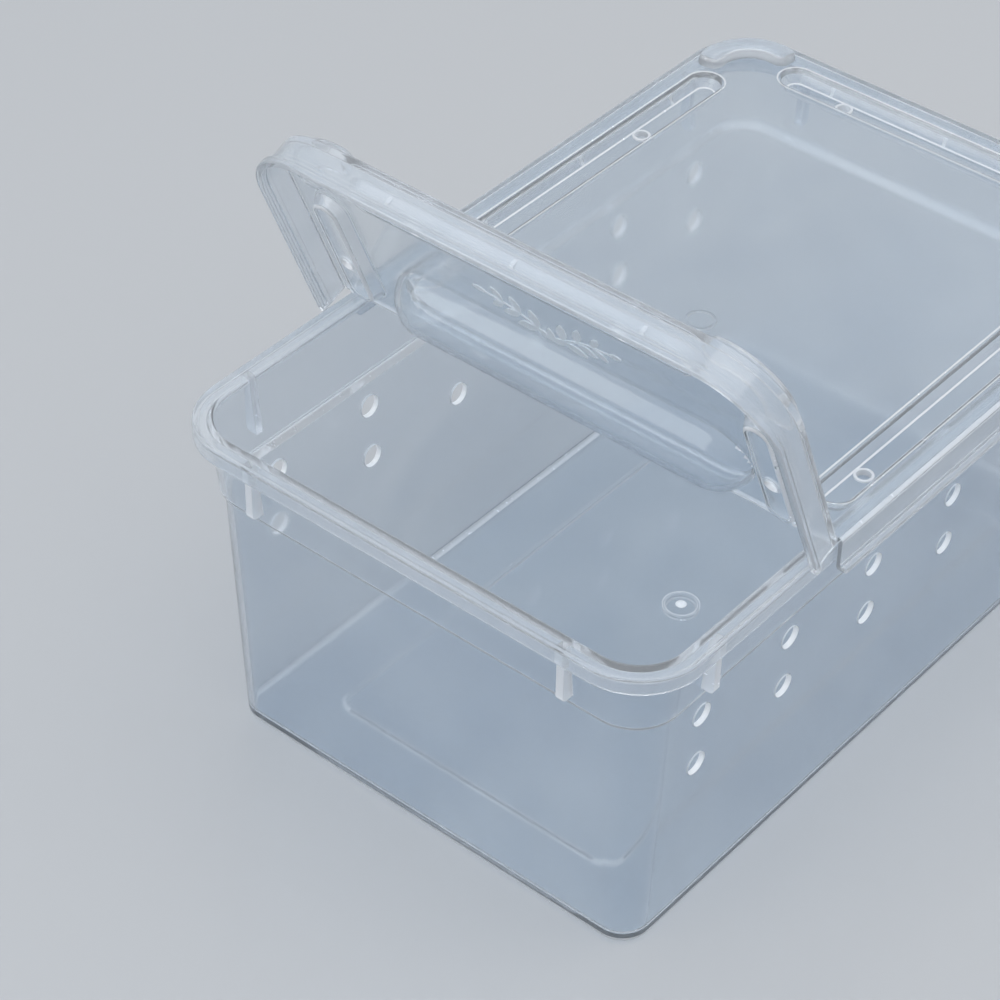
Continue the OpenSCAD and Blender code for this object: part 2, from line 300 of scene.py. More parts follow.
tubValues = {
    "footInset": 8.2,
    "lowInset": 5.7,
    "shoulderInset": 4.7,
    "neckInset": 3.1,
    "shoulderZ": 61.5,
    "wall": 1.25,
    "floor": 1.5,
    "floorEdge": 11.8,
    "rim": 1.5,
    "rimSkirt": 4.0,
    "rimSkirtWall": 1.2,
    "footRound": 1.8,
    "softRound": 0.5,
    "ledgeRound": 0.35,
    "skirtRound": 0.4,
    "rimRound": 0.6,
    "innerRound": 0.7,
    "innerFootRound": 1.9,
    "panelHalf": (70.5, 36.5),
    "panelRadius": 4.0,
    "panelRise": 0.7,
    "panelSlope": (0.3, 0.1),
    "panelFoot": 0.12,
    "panelBrow": 0.15,
    "floorMark": (4.2, 0.2, 0.7),  # radius, slope and width of the groove
    "floorMarkDepth": 0.12,
    "gateNub": ((1.2, 0), (0.95, 0.3), (0.5, 0.4), (0.2, 0.4)),  # radius and height
    "gateReach": 1.4,
    "grooveWidth": 0.8,
    "grooveSlope": 0.12,
    "grooveDepth": 0.4,
    "baseMark": 4.0,
    "baseMarkInner": 0.3,
    "ribWall": 1.8,
    "ribX": 71.2,
    "ribY": 38.6,
    "ribLow": 64.3,
    "ribRun": 6,
    "ribTop": 77.4,
    "ribSink": 0.3,
    "ribOuter": 1.5,
    "ribInner": 3.5,
    "ribRound": 1.1,
    "ventDiameter": 5.0,
    "ventColumns": 6,
    "ventPitch": 27.8,
    "ventShift": 0.9,
    "ventRows": (40.9, 54.0),
    "ventCut": 10,
    "edgeSoftness": 0.18,
}


def tubProfile(v):
    # section of wall and rim, from the outer edge of the base up and down again to the floor
    top = keeper["height"]
    soft = v["softRound"]
    mouth = v["neckInset"] + v["wall"]
    slope = (v["footInset"] - v["lowInset"]) / v["shoulderZ"]
    innerFoot = v["footInset"] - slope * v["floor"] + v["wall"]
    section = [
        (v["floorEdge"], 0, 0),
        (v["footInset"], 0, v["footRound"]),
        (v["lowInset"], v["shoulderZ"], soft),
        (v["shoulderInset"], v["shoulderZ"], v["ledgeRound"]),
        (v["neckInset"], top - v["rim"], soft),
        (v["rimSkirtWall"], top - v["rim"], v["skirtRound"]),
        (v["rimSkirtWall"], top - v["rimSkirt"], soft),
        (0, top - v["rimSkirt"], soft),
        (0, top, v["rimRound"]),
        (mouth, top, v["rimRound"]),
        (mouth, top - v["rim"], soft),
        (v["shoulderInset"] + v["wall"], v["shoulderZ"], v["innerRound"]),
        (v["lowInset"] + v["wall"], v["shoulderZ"] - v["wall"], v["innerRound"]),
        (innerFoot, v["floor"], v["innerFootRound"]),
        (v["floorEdge"], v["floor"], 0),
    ]
    return filleted([(radiusAt(inset), z, radius) for inset, z, radius in section])


def nextRing(bm, edges, fromRound, toRound, z):
    # extrude a ring to another rounded rectangle of (half length, half width, corner radius)
    made = bmesh.ops.extrude_edge_only(bm, edges=edges)["geom"]
    (oldX, oldY, oldR), (newX, newY, newR) = fromRound, toRound
    for vert in onlyVerts(made):
        signX = math.copysign(1, vert.co.x)
        signY = math.copysign(1, vert.co.y)
        side = Vector((vert.co.x - signX * (oldX - oldR), vert.co.y - signY * (oldY - oldR)))
        side *= newR / oldR
        vert.co = (signX * (newX - newR) + side.x, signY * (newY - newR) + side.y, z)
    return onlyEdges(made)


def ringsInward(bm, startRound, startZ, rings, near=0.01):
    edges = [edge for edge in openEdges(bm)
             if all(abs(vert.co.z - startZ) < near for vert in edge.verts)]
    last = startRound
    for roundShape, z in rings:
        edges = nextRing(bm, edges, last, roundShape, z)
        last = roundShape


def disc(radius):
    return (radius, radius, radius)


def groove(shape, outer, slope, width, level, depth):
    # rings of a groove with sloping sides; shape turns a size into an outline
    return [(shape(outer), level), (shape(outer - slope), level + depth),
            (shape(outer + slope - width), level + depth), (shape(outer - width), level)]


def tubBody(v):
    def panel(grow):
        return (v["panelHalf"][0] + grow, v["panelHalf"][1] + grow, v["panelRadius"] + grow)

    bm = bmesh.new()
    row = profileEdges(bm, [(cornerX + p.x, -cornerY, p.y) for p in tubProfile(v)])
    corners = [(cornerX, cornerY), (-cornerX, cornerY), (-cornerX, -cornerY), (cornerX, -cornerY)]
    drawAround(bm, row, corners[-1], corners)
    bmesh.ops.remove_doubles(bm, verts=bm.verts[:], dist=finishValues["meshGap"] * 2)
    edge = v["floorEdge"]
    floorRound = (halfLength - edge, halfWidth - edge, radiusAt(edge))
    floor = v["floor"]
    top = floor + v["panelRise"]
    wide, narrow = v["panelSlope"]
    inside = [
        (panel(wide), floor),
        (panel(narrow), floor + v["panelFoot"]),
        (panel(-narrow), top - v["panelBrow"]),
        (panel(-wide), top),
    ]
    inside += groove(disc, *v["floorMark"], top, -v["floorMarkDepth"])
    inside += [(disc(radius), top + height) for radius, height in v["gateNub"]]
    ringsInward(bm, floorRound, floor, inside)
    cut = (v["grooveSlope"], v["grooveWidth"], 0, v["grooveDepth"])
    under = groove(panel, 0, *cut) + groove(disc, v["baseMark"], *cut)
    ringsInward(bm, floorRound, 0, under + [(disc(v["baseMarkInner"]), 0)])
    fillOpen(bm)
    joinDoubles(bm, finishValues["meshGap"])
    return closedObject("tubShell", bm)


def tubRibs(v):
    root = radiusAt(v["shoulderInset"] + v["ribSink"])
    outline = filleted([
        (root, v["ribLow"] + v["ribRun"], 0),
        (root, v["ribLow"], 0),
        (radiusAt(v["ribOuter"]), v["ribLow"], v["ribRound"]),
        (radiusAt(v["ribOuter"]), v["ribTop"], 0),
        (radiusAt(v["ribInner"]), v["ribTop"], 0),
    ])
    bm = bmesh.new()
    for x, y in ((-1, -1), (-1, 1), (1, -1), (1, 1)):
        for place, outward in (((x * cornerX, y * v["ribY"], 0), (x, 0, 0)),
                               ((x * v["ribX"], y * cornerY, 0), (0, y, 0))):
            uprightSlab(bm, Vector(place), Vector(outward), outline, v["ribWall"])
    return closedObject("tubRibs", bm)


def ventX(v, column):
    return v["ventShift"] + (column - (v["ventColumns"] - 1) / 2) * v["ventPitch"]


def tubVents(v):
    bm = bmesh.new()
    wallY = halfWidth - v["lowInset"] - v["wall"] / 2
    acrossY = Matrix.Rotation(math.pi / 2, 4, "X")
    for column in range(v["ventColumns"]):
        for height in v["ventRows"]:
            for side in (-1, 1):
                barrel(bm, (ventX(v, column), side * wallY, height), acrossY,
                       v["ventDiameter"] / 2, v["ventCut"])
    return closedObject("tubVents", bm)


def insideVent(v, face, reach=0.1, wallReach=12, steep=0.7):
    # true for the rough wall of a vent hole
    centre = face.calc_center_median()
    if abs(face.normal.y) > steep or abs(centre.y) < halfWidth - wallReach:
        return False
    return any(math.hypot(centre.x - ventX(v, column), centre.z - row) < v["ventDiameter"] / 2 + reach
               for column in range(v["ventColumns"]) for row in v["ventRows"])


def onGateMark(v, face, lowest=0.02, highest=1):
    # true for the white nub in the middle of the floor; the flat rim is centred there too, higher up
    centre = face.calc_center_median()
    height = centre.z - v["floor"] - v["panelRise"]
    return lowest < height < highest and math.hypot(centre.x, centre.y) < v["gateReach"]


def onShoulder(v, face, below=0.8, above=0.6):
    # true for the shoulder, inside and outside
    height = face.calc_center_median().z
    return v["shoulderZ"] - v["wall"] - below < height < v["shoulderZ"] + above


def onTubRim(v, face, below=0.3):
    return face.calc_center_median().z > keeper["height"] - v["rimSkirt"] - below


def onRib(v, face, reach=0.25, below=0.5, wallReach=7):
    centre = face.calc_center_median()
    near = v["ribWall"] / 2 + reach
    alongX = abs(abs(centre.x) - v["ribX"]) < near and abs(centre.y) > halfWidth - wallReach
    alongY = abs(abs(centre.y) - v["ribY"]) < near and abs(centre.x) > halfLength - wallReach
    return centre.z > v["ribLow"] - below and (alongX or alongY)


def onFoot(face, height=1.6, flat=0.98, level=0.02):
    # true for the rounded edge of the base
    return face.calc_center_median().z < height and level < abs(face.normal.z) < flat


def buildTub(v):
    tub = tubBody(v)
    combine(tub, tubRibs(v), "UNION")
    combine(tub, tubVents(v), "DIFFERENCE")
    softenEdges(tub, v["edgeSoftness"])
    # shoulder, foot and ribs take the white edge material: a painted highlight over the haze of thick
    # plastic
    sortFaces(tub, (
        (highlightAndHazeFace, lambda face: onShoulder(v, face) or onFoot(face) or onRib(v, face)),
        (milkyFace, lambda face: onTubRim(v, face)),
        # vent walls and the gate nub: rough plastic, made whiter as a painted highlight
        (roughFace, lambda face: insideVent(v, face) or onGateMark(v, face)),
    ))
    return finishPiece(tub, "tub", ("tub",))


lidValues = {
    "fixed": {"skirt": 9.0, "pocket": (-30.0, 74.0), "fins": (62.0, 30.3, -1.4), "airs": (47.0, -16.4)},
    "flap": {"skirt": 8.3, "pocket": (41.9, 75.4), "fins": (44.2, 64.2), "airs": (55.4,)},
    "gap": 0.1,
    "skirtWall": 0.8,
    "lipOut": 0.85,
    "lipHeight": 2.0,
    "lipSlope": 0.3,
    "lineFrom": 0.95,
    "lineHalf": 0.15,
    "lineDepth": 0.14,
    "bandHeight": 0.8,
    "plateStart": 1.0,
    "innerRound": 0.45,
    "lowRound": 0.3,
    "lipRound": 0.4,
    "lipRootRound": 0.25,
    "topRound": 0.75,
    "halfFold": 0.75,
    "pocketInset": 8.6,
    "pocketTop": 4.2,
    "pocketLow": 3.1,
    "pocketDrop": 2.4,
    "pocketWall": 0.95,
    "pocketFlare": 4.65,
    "endPocketHalf": 41.5,
    # pocket rings: steps out and up from a radius and a height
    "pocketFoot": ((-0.5, 0), (-0.15, 0.12), (0.1, 0.4)),
    "pocketRoot": ((0, 0), (0.1375, 0.7)),
    "hollowInset": 0.6,
    "hollowFoot": ((-0.5, 0), (-0.12, 0.12), (0.05, 0.4)),
    "hollowWall": ((0.95, -0.75), (1.2, -0.35)),
    "hollowMouth": ((-0.35, -0.1), (0, 0), (0.4, 0.3)),
    "airDiameter": 3.0,
    "airRim": 0.55,
    "airRimSink": 0.05,
    "airRimHeight": 0.9,
    "airCut": 4,
    "airSegments": 24,
    "endAirs": (-24.4, 24.4),
    "finWall": 1.0,
    "finReach": 4.1,
    "finSink": 0.5,
    "finTip": 0.8,
    "finRoot": 0.2,
    "endFins": (-30.0, 0.0, 30.0),
    "lugInner": 7.0,
    "lugOuter": 13.2,
    "lugHeight": 2.18,
    "lugSink": 0.2,
    "lugDraft": (0.1, 0.6),
    "lugRound": (0.7, 0.9),
    "lugSpread": 9,
    "lugSteps": 20,
    "lugTaper": ((1.1, 0.88), (0.8, 0.75), (0.4, 0.55)),  # travel and shrinking of each step
    "lugDroop": 0.45,
    "markRadius": 3.4,
    "markWidth": 0.8,
    "markSlope": 0.1,
    "markDepth": 0.3,
    "markRise": 0.35,
    "markSteps": 32,
    "skirtCorner": (2.39, 2.4, 8),  # radius, reach and steps
    "cutMargin": 1,
    "cutReach": 6,
    "troughX": 53.1,
    "troughY": -2.8,
    "troughRadius": 8.9,
    "troughHalf": 43.2,
    "troughWall": 1.1,
    "troughCut": 0.6,
    "troughGrid": (40, 23),
    "edgeSoftness": 0.16,
    "levelGap": 0.01,
}


def lidProfile(v, skirt):
    # section of plate, skirt and lip, from the underside of the plate round to its top
    inner = radiusAt(-v["gap"])
    outer = radiusAt(-v["gap"] - v["skirtWall"])
    lip = outer + v["lipOut"]
    band = outer + v["lineDepth"]
    low = lidTop - skirt
    lipTop = low + v["lipHeight"]
    line = low + v["lineFrom"]
    return filleted([
        (v["plateStart"], plateZ, 0),
        (inner, plateZ, v["innerRound"]),
        (inner, low, v["lowRound"]),
        (lip, low, v["lipRound"]),
        (lip, line, 0),
        (lip - v["lineDepth"], line + v["lineHalf"], 0),
        (lip, line + 2 * v["lineHalf"], 0),
        (lip, lipTop - v["lipSlope"], v["lowRound"]),
        (band, lipTop, v["lipRootRound"]),
        (band, lipTop + v["bandHeight"], 0),
        (outer, lipTop + v["bandHeight"] + v["lineHalf"], 0),
        (outer, lidTop, v["topRound"]),
        (v["plateStart"], lidTop, 0),
    ])


def lidShell(v, skirt, startX, near=0.002):
    # skirt, lip and plate of one lid part, drawn towards +X from startX
    bm = bmesh.new()
    row = profileEdges(bm, [(startX, -cornerY - p.x, p.y) for p in lidProfile(v, skirt)])
    row = drawAround(bm, row, (startX, -cornerY), [(cornerX, -cornerY), (cornerX, cornerY)])
    drawRun(bm, row, (startX - cornerX, 0, 0))
    bmesh.ops.remove_doubles(bm, verts=bm.verts[:], dist=finishValues["meshGap"])
    rim = openEdges(bm)
    rimVerts = vertsOf(rim)

    def allAt(edge, axis, value):
        return all(abs(vert.co[axis] - value) < near for vert in edge.verts)

    across = []
    for z in (plateZ, lidTop):
        corners = [vert for vert in rimVerts
                   if abs(vert.co.x - startX) < near and abs(vert.co.z - z) < near
                   and abs(abs(vert.co.y) - cornerY - v["plateStart"]) < near]
        across.append(bm.edges.new(corners))
        loop = [edge for edge in rim if allAt(edge, 2, z) and not allAt(edge, 0, startX)]
        bm.faces.new(walkLoop(loop + across[-1:]))
    bm.faces.new(walkLoop([edge for edge in rim if allAt(edge, 0, startX)] + across))
    joinDoubles(bm, finishValues["meshGap"])
    return closedObject("lidShell", bm)


def stadium(bm, centre, alongX, half, rings, segments=32):
    # closed loft of stadium rings, each (radius, z); half is half the length of the straight side
    turns = [2 * math.pi * (k + 0.5) / segments for k in range(segments)]
    last = []
    for radius, z in rings:
        ring = []
        for turn in turns:
            x = math.cos(turn) * radius + math.copysign(half, math.cos(turn))
            y = math.sin(turn) * radius
            if not alongX:
                x, y = -y, x
            ring.append(bm.verts.new((centre[0] + x, centre[1] + y, z)))
        for k, vert in enumerate(last):
            bm.faces.new((last[k - 1], vert, ring[k], ring[k - 1]))
        if not last:
            bm.faces.new(ring)
        last = ring
    bm.faces.new(last)


def pocketPlaces(v, kind):
    # middle, direction and half length of the middle line of each pocket
    start, end = v[kind]["pocket"]
    sideY = halfWidth - v["pocketInset"]
    middle = (start + end) / 2
    half = (end - start) / 2 - v["pocketTop"]
    return [
        ((middle, -sideY), True, half),
        ((middle, sideY), True, half),
        ((halfLength - v["pocketInset"], 0), False, v["endPocketHalf"] - v["pocketTop"]),
    ]


def onPocketLines(v, sideXs, endYs):
    # places on the middle lines of the pockets, each with its way outward
    sideY = halfWidth - v["pocketInset"]
    endX = halfLength - v["pocketInset"]
    places = [(Vector((x, side * sideY, 0)), Vector((0, side, 0))) for x in sideXs for side in (-1, 1)]
    return places + [(Vector((endX, y, 0)), Vector((1, 0, 0))) for y in endYs]


def pocketPlugs(name, v, kind, rings):
    bm = bmesh.new()
    for centre, alongX, half in pocketPlaces(v, kind):
        stadium(bm, centre, alongX, half, rings)
    return closedObject(name, bm)


def stepRings(radius, z, steps):
    return [(radius + out, z + up) for out, up in steps]


def pocketShells(v, kind):
    return pocketPlugs("pocketShells", v, kind,
                       stepRings(v["pocketLow"], plateZ - v["pocketDrop"], v["pocketFoot"])
                       + stepRings(v["pocketTop"], plateZ, v["pocketRoot"]))


def pocketHollows(v, kind):
    low = v["pocketLow"] - v["pocketWall"] * v["hollowInset"]
    return pocketPlugs("pocketHollows", v, kind,
                       stepRings(low, plateZ - v["pocketDrop"] + v["pocketWall"], v["hollowFoot"])
                       + stepRings(low, lidTop, v["hollowWall"])
                       + stepRings(v["pocketFlare"], lidTop, v["hollowMouth"]))


def airBarrels(name, v, kind, radius, z, depth):
    bm = bmesh.new()
    for place, _ in onPocketLines(v, v[kind]["airs"], v["endAirs"]):
        barrel(bm, (place.x, place.y, z), Matrix.Identity(4), radius, depth, v["airSegments"])
    return closedObject(name, bm)


def airRims(v, kind):
    floor = plateZ - v["pocketDrop"] + v["pocketWall"]
    return airBarrels("airRims", v, kind, v["airDiameter"] / 2 + v["airRim"],
                      floor - v["airRimSink"], v["airRimHeight"])


def airHoles(v, kind):
    return airBarrels("airHoles", v, kind, v["airDiameter"] / 2, plateZ - v["airCut"] / 2, v["airCut"])


def finPlates(v, kind):
    # small centring fins on the outer face of each pocket
    low = plateZ - v["pocketDrop"]
    root = v["pocketLow"] - v["finSink"]
    outline = [(root, low), (v["pocketLow"], low), (v["finReach"], low + v["finTip"]),
               (v["finReach"], plateZ + v["finRoot"]), (root, plateZ + v["finRoot"])]
    bm = bmesh.new()
    for place, outward in onPocketLines(v, v[kind]["fins"], v["endFins"]):
        uprightSlab(bm, place, outward, outline, v["finWall"])
    return closedObject("fins", bm)


def taperEnd(v, bm, edges, along, centre):
    # extrude a closed section along a direction while it shrinks, then cap it
    floor = lidTop - v["lugSink"]
    for travel, shrink in v["lugTaper"]:
        made = bmesh.ops.extrude_edge_only(bm, edges=edges)["geom"]
        edges = onlyEdges(made)
        verts = onlyVerts(made)
        centre = centre + along * travel
        bmesh.ops.translate(bm, verts=verts, vec=along * travel)
        bmesh.ops.scale(bm, verts=verts, vec=(shrink, shrink, 1), space=Matrix.Translation(-centre))
        for vert in verts:
            vert.co.z = floor + (vert.co.z - floor) * (1 - v["lugDroop"] * (1 - shrink))
    bm.faces.new(walkLoop(edges))


def cornerLugs(v):
    inner, outer = v["lugInner"], v["lugOuter"]
    top = lidTop + v["lugHeight"]
    section = filleted([
        (inner, lidTop - v["lugSink"], 0),
        (inner + v["lugDraft"][0], top, v["lugRound"][0]),
        (outer - v["lugDraft"][1], top, v["lugRound"][1]),
        (outer, lidTop - v["lugSink"], 0),
    ], 3)
    spread = math.radians(v["lugSpread"])
    bm = bmesh.new()
    for side in (-1, 1):
        centre = Vector((cornerX, side * cornerY, 0))
        start = (-math.pi / 2 if side < 0 else 0) - spread
        turn = math.pi / 2 + 2 * spread
        facing = Matrix.Rotation(start, 3, "Z")
        ring = profileEdges(bm, [centre + facing @ Vector((p.x, 0, p.y)) for p in section], True)
        last = drawTurn(bm, ring, centre, turn, v["lugSteps"])
        for edges, angle, sign in ((ring, start, -1), (last, start + turn, 1)):
            out = Vector((math.cos(angle), math.sin(angle), 0))
            tangent = Vector((-math.sin(angle), math.cos(angle), 0)) * sign
            taperEnd(v, bm, edges, tangent, centre + out * (inner + outer) / 2)
    bmesh.ops.remove_doubles(bm, verts=bm.verts[:], dist=finishValues["meshGap"] * 2)
    return closedObject("cornerLugs", bm)


def ringMark(v):
    outer, inner, slope = v["markRadius"], v["markRadius"] - v["markWidth"], v["markSlope"]
    low, high = plateZ - v["markDepth"], plateZ + v["markRise"]
    bm = bmesh.new()
    row = profileEdges(bm, [(inner, 0, low), (outer, 0, low), (outer - slope, 0, high),
                            (inner + slope, 0, high)], True)
    bmesh.ops.spin(bm, geom=vertsOf(row) + row, cent=(0, 0, 0), axis=(0, 0, 1), dvec=(0, 0, 0),
                   angle=2 * math.pi, steps=v["markSteps"], use_merge=True, use_duplicate=False)
    joinDoubles(bm, finishValues["meshGap"])
    return closedObject("ringMark", bm)


def troughBar(v, shrink):
    # ball-ended bar along Y, smaller all round by shrink
    radius = v["troughRadius"] - shrink
    around, along = v["troughGrid"]
    bm = bmesh.new()
    made = bmesh.ops.create_uvsphere(bm, u_segments=around, v_segments=along, radius=radius,
                                     matrix=Matrix.Rotation(math.pi / 2, 4, "X"))["verts"]
    for vert in made:
        vert.co.y += math.copysign(v["troughHalf"] - shrink - radius, vert.co.y)
        vert.co += Vector((v["troughX"], v["troughY"], lidTop))
    return bm


def troughOuter(v):
    bm = troughBar(v, 0)
    bmesh.ops.bisect_plane(bm, geom=bm.verts[:] + bm.edges[:] + bm.faces[:], dist=0.0001,
                           plane_co=(0, 0, lidTop - v["troughCut"]), plane_no=(0, 0, 1),
                           clear_outer=True)
    fillOpen(bm)
    joinDoubles(bm, finishValues["meshGap"])
    return closedObject("troughOuter", bm)


def troughInner(v):
    return closedObject("troughInner", troughBar(v, v["troughWall"]))


def skirtCorner(v):
    # rounds the lower corner of the fixed skirt beside the fold
    x = keeper["hingeX"] + v["halfFold"]
    z = lidTop - v["fixed"]["skirt"]
    radius, ends, steps = v["skirtCorner"]
    margin = v["cutMargin"]
    side = halfWidth + v["cutReach"]
    arc = filleted([(x, z + ends, 0), (x, z, radius), (x + ends, z, 0)], steps)
    outline = arc + [Vector((x + ends, z - margin)), Vector((x - margin, z - margin)),
                     Vector((x - margin, z + ends))]
    bm = bmesh.new()
    extrudeFace(bm, [(p.x, -side, p.y) for p in outline], (0, 2 * side, 0))
    return closedObject("skirtCorner", bm)


def fromPocketLine(v, centre, kind):
    # distance from the middle line of the nearest pocket, seen from above
    reaches = []
    for (x, y), alongX, half in pocketPlaces(v, kind):
        along, across = (centre.x - x, centre.y - y) if alongX else (centre.y - y, centre.x - x)
        reaches.append(math.hypot(max(abs(along) - half, 0), across))
    return min(reaches)


def onPocketWall(v, face, kind, steep=0.6, reach=0.3):
    # true for the steep walls of a pocket, which take the milky material: haze with a painted highlight
    centre = face.calc_center_median()
    if abs(face.normal.z) > steep or not plateZ - v["pocketDrop"] < centre.z < plateZ:
        return False
    return fromPocketLine(v, centre, kind) < v["pocketTop"] + reach


def onFin(v, face, kind, nearest=0.1, farthest=1.5):
    centre = face.calc_center_median()
    height = centre.z - plateZ + v["pocketDrop"]
    slope = (v["pocketTop"] - v["pocketLow"]) / v["pocketDrop"]
    if not 0 <= height < v["pocketDrop"] - v["levelGap"]:
        return False
    clear = fromPocketLine(v, centre, kind) - v["pocketLow"] - slope * height
    return nearest < clear < farthest


def atAirHole(v, face, kind, reach=0.05):
    # true for the raised rim and the wall of an air hole
    centre = face.calc_center_median()
    return centre.z < plateZ - v["levelGap"] and any(
        math.hypot(centre.x - place.x, centre.y - place.y) < v["airDiameter"] / 2 + v["airRim"] + reach
        for place, _ in onPocketLines(v, v[kind]["airs"], v["endAirs"]))


def onSkirtOrLug(face, inset=0.2, above=0.3):
    centre = face.calc_center_median()
    outX = max(abs(centre.x) - cornerX, 0)
    outY = max(abs(centre.y) - cornerY, 0)
    return math.hypot(outX, outY) > radiusAt(inset) or centre.z > lidTop + above


def buildLidPart(v, kind, startX, name):
    # both parts are drawn flat, with the end pocket towards +X
    part = lidShell(v, v[kind]["skirt"], startX)
    combine(part, pocketShells(v, kind), "UNION")
    combine(part, finPlates(v, kind), "UNION")
    combine(part, cornerLugs(v), "UNION")
    if kind == "flap":
        combine(part, troughOuter(v), "UNION")
        combine(part, troughInner(v), "DIFFERENCE")
    combine(part, pocketHollows(v, kind), "DIFFERENCE")
    combine(part, airRims(v, kind), "UNION")
    combine(part, airHoles(v, kind), "DIFFERENCE")
    if kind == "fixed":
        combine(part, ringMark(v), "DIFFERENCE")
        combine(part, skirtCorner(v), "DIFFERENCE")
    softenEdges(part, v["edgeSoftness"])
    # fins and air holes take the white edge material: a painted highlight over the haze of thick plastic
    sortFaces(part, (
        (milkyFace, lambda face: onSkirtOrLug(face) or onPocketWall(v, face, kind)),
        (highlightAndHazeFace, lambda face: atAirHole(v, face, kind) or onFin(v, face, kind)),
    ))
    part.name = name
    return part


def raiseFlap(piece):
    # mirror a flat piece of the flap to the front and turn it up about the fold
    hinge = Vector((keeper["hingeX"], 0, keeper["hingeZ"]))
    turn = Matrix.Rotation(math.radians(keeper["flapAngle"]), 4, "Y")
    mirror = Matrix.Scale(-1, 4, (1, 0, 0))
    piece.data.transform(Matrix.Translation(hinge) @ turn @ Matrix.Translation(-hinge) @ mirror)
    piece.data.flip_normals()


def buildLid(v):
    lid = buildLidPart(v, "fixed", keeper["hingeX"] + v["halfFold"], "lidPlate")
    return finishPiece(lid, "lid", ("lid_fixed",))


def buildFlap(v):
    flap = buildLidPart(v, "flap", -keeper["hingeX"] + v["halfFold"], "frontFlap")
    raiseFlap(flap)
    return finishPiece(flap, "flap", ("lid_flap",))


sprigValues = {
    "centre": (27.0, -0.6),
    "relief": 0.22,
    "sink": 0.03,
    "stemWidth": 0.55,
    "stemTaper": (1.1, 0.6),
    "stemSteps": 20,
    "stemGap": 1.2,
    "stemReach": 13.4,
    "stemWave": (2.52, 1.68),
    "stemSweep": 5.0,
    "leaves": 4,
    "leafLength": 5.8,
    "leafWidth": 2.6,
    "leafPoints": 14,
    "leafBelly": 0.45,
    "leafRim": 0.32,
    "leafDip": 0.07,
    "leafSpan": (0.12, 0.86),
    "leafShrink": 0.45,
    "leafLean": 0.85,
    "leafOffset": 0.35,
    "budLength": 4.2,
    "budWidth": 1.9,
    "budShift": 2.6,
    "budTurn": 60,
    "budRim": 0.7,
}


def raisedShape(v, bm, outline, rim=0):
    # low relief on the flap; a rim sinks the middle of its top a little
    low = lidTop - v["sink"]
    made = extrudeFace(bm, [(x, y, low) for x, y in outline], (0, 0, v["relief"] + v["sink"]))
    if rim:
        tops = [item for item in made if isinstance(item, bmesh.types.BMFace)]
        bmesh.ops.recalc_face_normals(bm, faces=tops)
        bmesh.ops.inset_individual(bm, faces=tops, thickness=rim, depth=0)
        bmesh.ops.translate(bm, verts=vertsOf(tops), vec=(0, 0, -v["leafDip"]))


def leafOutline(v, tip, angle, length, width):
    points = []
    for step in range(v["leafPoints"]):
        turn = 2 * math.pi * step / v["leafPoints"]
        along = (1 + math.cos(turn)) / 2 * length
        belly = 1 - v["leafBelly"] * (1 - math.sin(math.pi * along / length))
        side = math.sin(turn) * width / 2 * belly
        points.append((tip[0] + along * math.cos(angle) - side * math.sin(angle),
                       tip[1] + along * math.sin(angle) + side * math.cos(angle)))
    return points


def stemOutline(v, spine):
    steps = len(spine) - 1
    wide, taper = v["stemTaper"]
    left, right = [], []
    for k, point in enumerate(spine):
        ahead = spine[min(k + 1, steps)] - spine[max(k - 1, 0)]
        across = Vector((-ahead.y, ahead.x)).normalized()
        half = v["stemWidth"] / 2 * (wide - taper * k / steps)
        left.append(tuple(point + across * half))
        right.append(tuple(point - across * half))
    return left + right[::-1]


def buildSprig(v):
    # generic sprig: two mirrored stems with paired leaves, and buds between them
    bm = bmesh.new()
    startX = -keeper["hingeX"] + v["centre"][0]
    centreY = v["centre"][1]

    def stemPoint(sign, t):
        swell, setBack = v["stemWave"]
        x = startX + swell * math.sin(math.pi * t) - setBack + v["stemSweep"] * t * t
        return Vector((x, centreY + sign * (v["stemGap"] + v["stemReach"] * t)))

    for sign in (-1, 1):
        spine = [stemPoint(sign, k / v["stemSteps"]) for k in range(v["stemSteps"] + 1)]
        raisedShape(v, bm, stemOutline(v, spine))
        for leaf in range(v["leaves"]):
            last = leaf == v["leaves"] - 1
            t = v["leafSpan"][0] + v["leafSpan"][1] * leaf / (v["leaves"] - 1)
            here, ahead = stemPoint(sign, t), stemPoint(sign, t + 0.03)
            heading = math.atan2(ahead.y - here.y, ahead.x - here.x)
            size = 1.0 - v["leafShrink"] * t
            for lean in ((0.0,) if last else (-v["leafLean"], v["leafLean"])):
                offset = Vector((math.cos(heading + lean), math.sin(heading + lean))) * v["leafOffset"]
                outline = leafOutline(v, here + offset, heading + lean, v["leafLength"] * size,
                                      v["leafWidth"] * size)
                raisedShape(v, bm, outline, v["leafRim"] * size)
    for turn in (-v["budTurn"], 0, v["budTurn"]):
        bud = leafOutline(v, (startX - v["budShift"], centreY), math.radians(turn),
                          v["budLength"], v["budWidth"])
        raisedShape(v, bm, bud, v["leafRim"] * v["budRim"])
    sprig = closedObject("frostedSprig", bm)
    raiseFlap(sprig)
    return finishPiece(sprig, "flap")


foldValues = {
    "thickness": 0.5,
    "lidDrop": 0.3,
    "lidReach": (0.85, 0.55),
    "lidRise": 0.12,
    "flapDrop": 0.5,
    "flapReach": (0.85, 0.62),
    "bead": 0.56,
    "beadHalf": (0.3, 0.25),
    "creaseLid": (0.25, -0.5),
    "creaseFlap": (-0.12, -0.35),
    "endGap": 0.3,
    "lengthSteps": 24,
    "smoothing": 0.25,
    "sharpTurn": 50,
}


